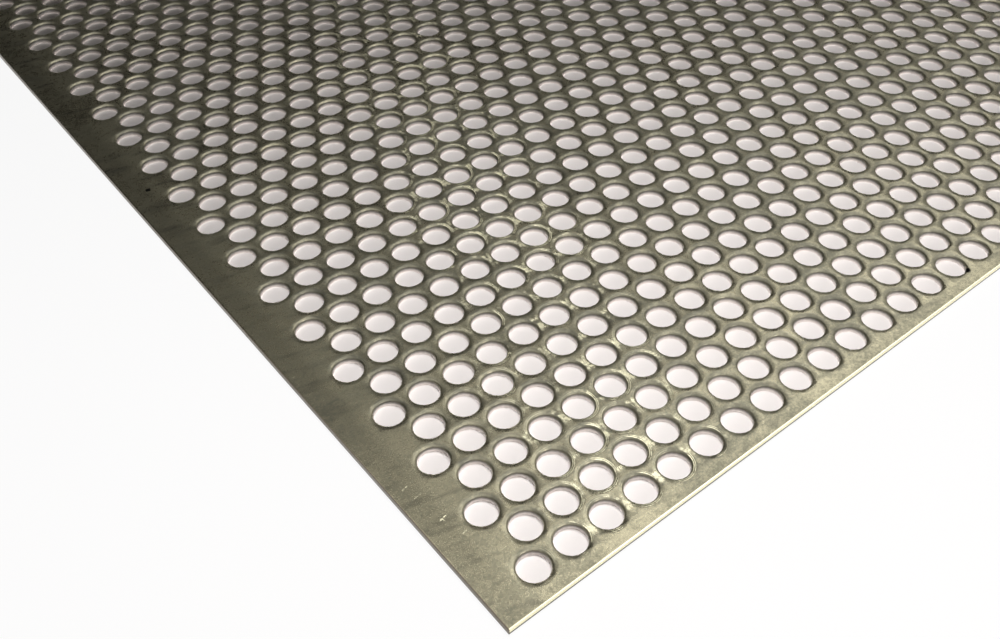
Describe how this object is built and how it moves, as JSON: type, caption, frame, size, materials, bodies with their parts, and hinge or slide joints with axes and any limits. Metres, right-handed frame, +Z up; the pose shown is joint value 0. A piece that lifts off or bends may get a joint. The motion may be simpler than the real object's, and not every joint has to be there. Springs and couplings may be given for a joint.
{
  "type": "perforated steel plate",
  "caption": "Flat square mild-steel plate with round punched holes in staggered rows, rounded lips on the punch side and sheared sides.",
  "frame": {"origin": "middle of the underside, halfway along and across the plate", "axes": "+Z up through the thickness, out of the punch side with the rounded hole lips; +X along the rows of holes; +Y across the rows"},
  "size_m": [0.25, 0.25, 0.0015],
  "materials": {
    "steel": "mill finish, faintly streaked and scratched"
  },
  "bodies": {
    "root": {"perforated_sheet": "steel"}
  },
  "joints": []
}
